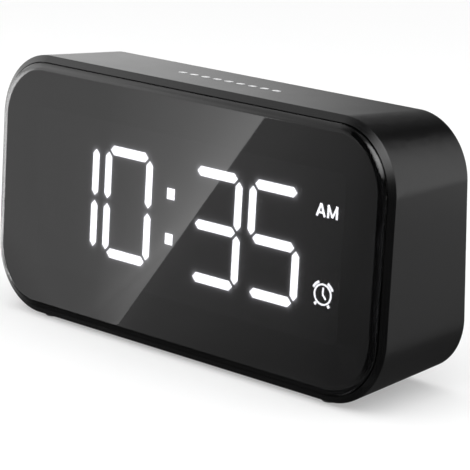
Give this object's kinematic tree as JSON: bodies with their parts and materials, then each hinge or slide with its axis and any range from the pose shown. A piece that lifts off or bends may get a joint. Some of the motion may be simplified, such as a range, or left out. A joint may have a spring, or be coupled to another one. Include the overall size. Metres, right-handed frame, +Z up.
{
  "type": "digital alarm clock",
  "caption": "Bedside digital alarm clock: a tapering rounded case with a smoked lens that leans back over lit segment digits, with rear keys, an alarm slide switch and a twist-off cell door.",
  "frame": {"origin": "on the table under the middle of the clock, at the undersides of its feet", "axes": "+X to the clock's right-hand side as seen from the front, -Y out of its lens, +Z up"},
  "size_m": [0.16, 0.0386, 0.0783],
  "materials": {
    "case_plastic": "fine matt texture",
    "lens_plastic": "polished, smoked",
    "display_black": "flat black",
    "segment_light": "glowing white",
    "segment_dark": "unlit, milky",
    "diode": "clear resin",
    "board": "solder mask",
    "screw_steel": "dark zinc",
    "chip_black": "moulded resin",
    "can": "drawn can",
    "capacitor_can": "sleeved can",
    "socket_black": "smooth",
    "brass": "plated",
    "holder_plastic": "plain",
    "plug_plastic": "plain",
    "ribbon": "flexible",
    "rubber": "soft, matt",
    "control_plastic": "smooth matt",
    "plunger_plastic": "plain"
  },
  "bodies": {
    "clock": {"alarm_switch_body": "chip_black", "buzzer": "chip_black", "capacitor": "capacitor_can", "case": "case_plastic", "cell_contact": "brass", "cell_holder": "holder_plastic", "coin_cell": "can", "colon_dots": "segment_light", "controller_chip": "chip_black", "cover_screws": "screw_steel", "crystal": "can", "display_board": "board", "display_frame": "display_black", "display_leds": "diode", "display_screws": "screw_steel", "front_lens": "lens_plastic", "indicator_windows": "segment_light", "lit_segments": "segment_light", "main_board": "board", "main_board_screws": "screw_steel", "power_pin": "brass", "power_socket": "socket_black", "rear_cover": "case_plastic", "ribbon_cable": "ribbon", "ribbon_plugs": "plug_plastic", "rubber_feet": "rubber", "tact_switches": "chip_black", "touch_pad": "brass", "unlit_segments": "segment_dark"},
    "hour_key": {"hour_button": "control_plastic", "hour_plunger": "plunger_plastic"},
    "minute_key": {"minute_button": "control_plastic", "minute_plunger": "plunger_plastic"},
    "time_key": {"time_button": "control_plastic", "time_plunger": "plunger_plastic"},
    "alarm_key": {"alarm_button": "control_plastic", "alarm_plunger": "plunger_plastic"},
    "dimmer_key": {"dimmer_button": "control_plastic", "dimmer_plunger": "plunger_plastic"},
    "alarm_slide": {"alarm_slider": "control_plastic"},
    "door": {"cell_door": "control_plastic"}
  },
  "joints": [
    {"name": "hour_press", "type": "slide", "parent": "clock", "child": "hour_key", "axis": [0, -1, 0], "range_m": [0, 0.0006], "stiffness_N_per_m": 600, "springref_m": -0.001},
    {"name": "minute_press", "type": "slide", "parent": "clock", "child": "minute_key", "axis": [0, -1, 0], "range_m": [0, 0.0006], "stiffness_N_per_m": 600, "springref_m": -0.001},
    {"name": "time_press", "type": "slide", "parent": "clock", "child": "time_key", "axis": [0, -1, 0], "range_m": [0, 0.0006], "stiffness_N_per_m": 600, "springref_m": -0.001},
    {"name": "alarm_press", "type": "slide", "parent": "clock", "child": "alarm_key", "axis": [0, -1, 0], "range_m": [0, 0.0006], "stiffness_N_per_m": 600, "springref_m": -0.001},
    {"name": "dimmer_press", "type": "slide", "parent": "clock", "child": "dimmer_key", "axis": [0, -1, 0], "range_m": [0, 0.0006], "stiffness_N_per_m": 600, "springref_m": -0.001},
    {"name": "alarm_slide_move", "type": "slide", "parent": "clock", "child": "alarm_slide", "axis": [1, 0, 0], "range_m": [-0.003, 0]},
    {"name": "cell_door_twist", "type": "hinge", "parent": "clock", "child": "door", "pos_m": [-0.02124, 0.01807, 0.02865], "axis": [0, 1, 0], "range_deg": [0, 45]}
  ]
}
